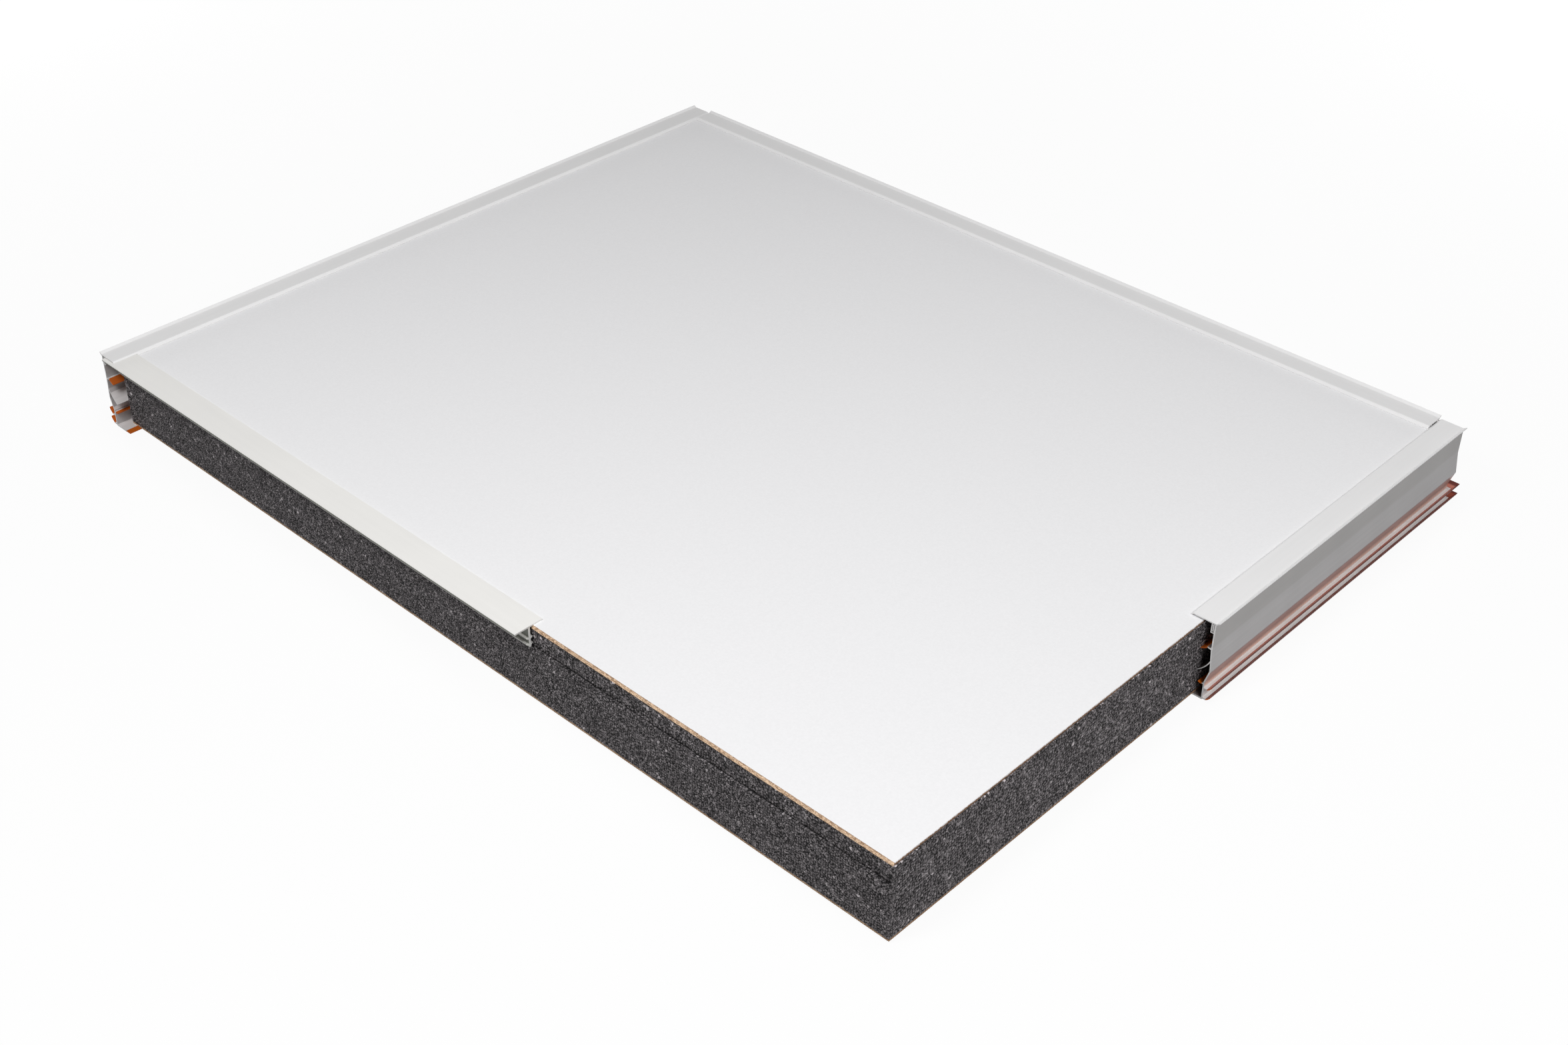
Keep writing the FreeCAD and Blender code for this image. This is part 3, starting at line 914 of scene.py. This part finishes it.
chip_edge("joint_outer_edge",
          foot=(0, outer_low.z), top=(0, outer_high.z),
          start=outer_low.x, end=outer_high.x,
          place=on_joint_side, step=outer_chip_step, seed=41, tone=0.9)
chip_edge("end_outer_edge",
          foot=(0, outer_low.z), top=(0, outer_high.z),
          start=outer_low.y, end=tucked_end,
          place=on_end_side, step=outer_chip_step, seed=43, tone=0.5)


# Floor, light and camera.

# Floor: half its width, where its shadow starts to fade and is gone, and how white it looks at least.
floor_half = 12.0
shadow_near = 0.8
shadow_far = 2.4
floor_glow = 0.93

# Light: strength of the surround, and the points that the lamps are turned to.
fill_strength = 0.05
panel_middle = (0, 0, 0.1)
panel_foot = (0, 0, 0.05)

# Camera of the photograph: metres, degrees, and millimetres for its lens and sensor.
camera_place = (1.45613, -1.53628, 1.41914)
camera_heading = 42.933
camera_dip = 35.557
camera_roll = 0.779
camera_lens = 47.215
sensor_width = 36.0


def seen_white(tree):
    """One for what the camera sees, straight or by a mirror or glass, and nothing for plain light."""
    path = new_node(tree, "LightPath")
    mirrored = math_node(tree, "MAXIMUM")
    seen = math_node(tree, "MAXIMUM")
    wire(tree, path, "Is Camera Ray", mirrored, 0)
    wire(tree, path, "Is Glossy Ray", mirrored, 1)
    wire(tree, mirrored, 0, seen, 0)
    wire(tree, path, "Is Transmission Ray", seen, 1)
    return seen


def floor_finish():
    """Pale floor that looks white to the camera; the shadow shows near the panel and fades away."""
    material = bpy.data.materials.new("pale_floor")
    material.use_nodes = True
    tree = material.node_tree
    tree.nodes.clear()
    seen = seen_white(tree)
    dull = new_node(tree, "BsdfDiffuse", Color=(0.5, 0.5, 0.5, 1))
    pale = new_node(tree, "BsdfDiffuse", Color=(0.9, 0.9, 0.9, 1))
    white = new_node(tree, "Emission", Color=plain_white, Strength=1.0)
    place = new_node(tree, "TexCoord")
    away = new_node(tree, "VectorMath", operation="LENGTH")
    fade = new_node(tree, "MapRange", From_Min=shadow_near, From_Max=shadow_far,
                    To_Min=floor_glow, To_Max=1.0)
    shown = new_node(tree, "MixShader")
    both = new_node(tree, "MixShader")
    out = new_node(tree, "OutputMaterial")
    wire(tree, place, "Object", away, 0)
    wire(tree, away, "Value", fade, "Value")
    wire(tree, fade, 0, shown, 0)
    wire(tree, pale, 0, shown, 1)
    wire(tree, white, 0, shown, 2)
    wire(tree, seen, 0, both, 0)
    wire(tree, dull, 0, both, 1)
    wire(tree, shown, 0, both, 2)
    wire(tree, both, 0, out, "Surface")
    return material


def floor():
    """Flat square grid about the panel, at the level of the feet."""
    reach = np.linspace(-floor_half, floor_half, 3)
    x, y = np.meshgrid(reach, reach)
    mesh = grid_mesh("floor", np.stack([x, y, np.zeros_like(x)], -1))
    mesh.materials.append(floor_finish())
    plane = add_object("floor", mesh)


def backdrop():
    """White surround for the camera, weak plain light for everything else."""
    world = bpy.data.worlds.new("studio")
    bpy.context.scene.world = world
    world.use_nodes = True
    tree = world.node_tree
    tree.nodes.clear()
    seen = seen_white(tree)
    fill = new_node(tree, "Background", Color=plain_white, Strength=fill_strength)
    white = new_node(tree, "Background", Color=plain_white, Strength=1.0)
    both = new_node(tree, "MixShader")
    out = new_node(tree, "OutputWorld")
    wire(tree, seen, 0, both, 0)
    wire(tree, fill, 0, both, 1)
    wire(tree, white, 0, both, 2)
    wire(tree, both, 0, out, "Surface")


def soft_lamp(name, place, aim, size, power):
    """Square studio lamp at a place, turned to a point."""
    lamp = bpy.data.lights.new(name, "AREA")
    lamp.shape = "SQUARE"
    lamp.size = size
    lamp.energy = power
    holder = add_object(name, lamp)
    holder.location = place
    holder.rotation_euler = (Vector(aim) - Vector(place)).to_track_quat("-Z", "Y").to_euler()


def camera():
    """Camera of the photograph: heading about the panel, dip below level and a slight roll."""
    data = bpy.data.cameras.new("photo_camera")
    data.sensor_fit = "HORIZONTAL"
    data.sensor_width = sensor_width
    data.lens = camera_lens
    holder = add_object("photo_camera", data)
    heading = Matrix.Rotation(math.radians(camera_heading), 4, "Z")
    tilt = Matrix.Rotation(math.radians(90 - camera_dip), 4, "X")
    roll = Matrix.Rotation(math.radians(camera_roll), 4, "Z")
    holder.matrix_world = Matrix.Translation(camera_place) @ heading @ tilt @ roll
    bpy.context.scene.camera = holder


floor()
backdrop()
soft_lamp("overhead_lamp", place=(0.42, 0.15, 3.20), aim=panel_middle, size=1.6, power=31.6)
soft_lamp("right_lamp", place=(2.10, -0.62, 1.72), aim=panel_middle, size=0.6, power=22.0)
soft_lamp("front_lamp", place=(0.10, -1.60, 1.95), aim=panel_middle, size=0.65, power=22.8)
soft_lamp("low_back_lamp", place=(0.20, 2.25, 0.16), aim=panel_foot, size=0.28, power=12.0)
soft_lamp("low_left_lamp", place=(-2.35, 0.10, 0.16), aim=panel_foot, size=0.28, power=12.0)
camera()
bpy.context.scene.view_settings.view_transform = "Standard"
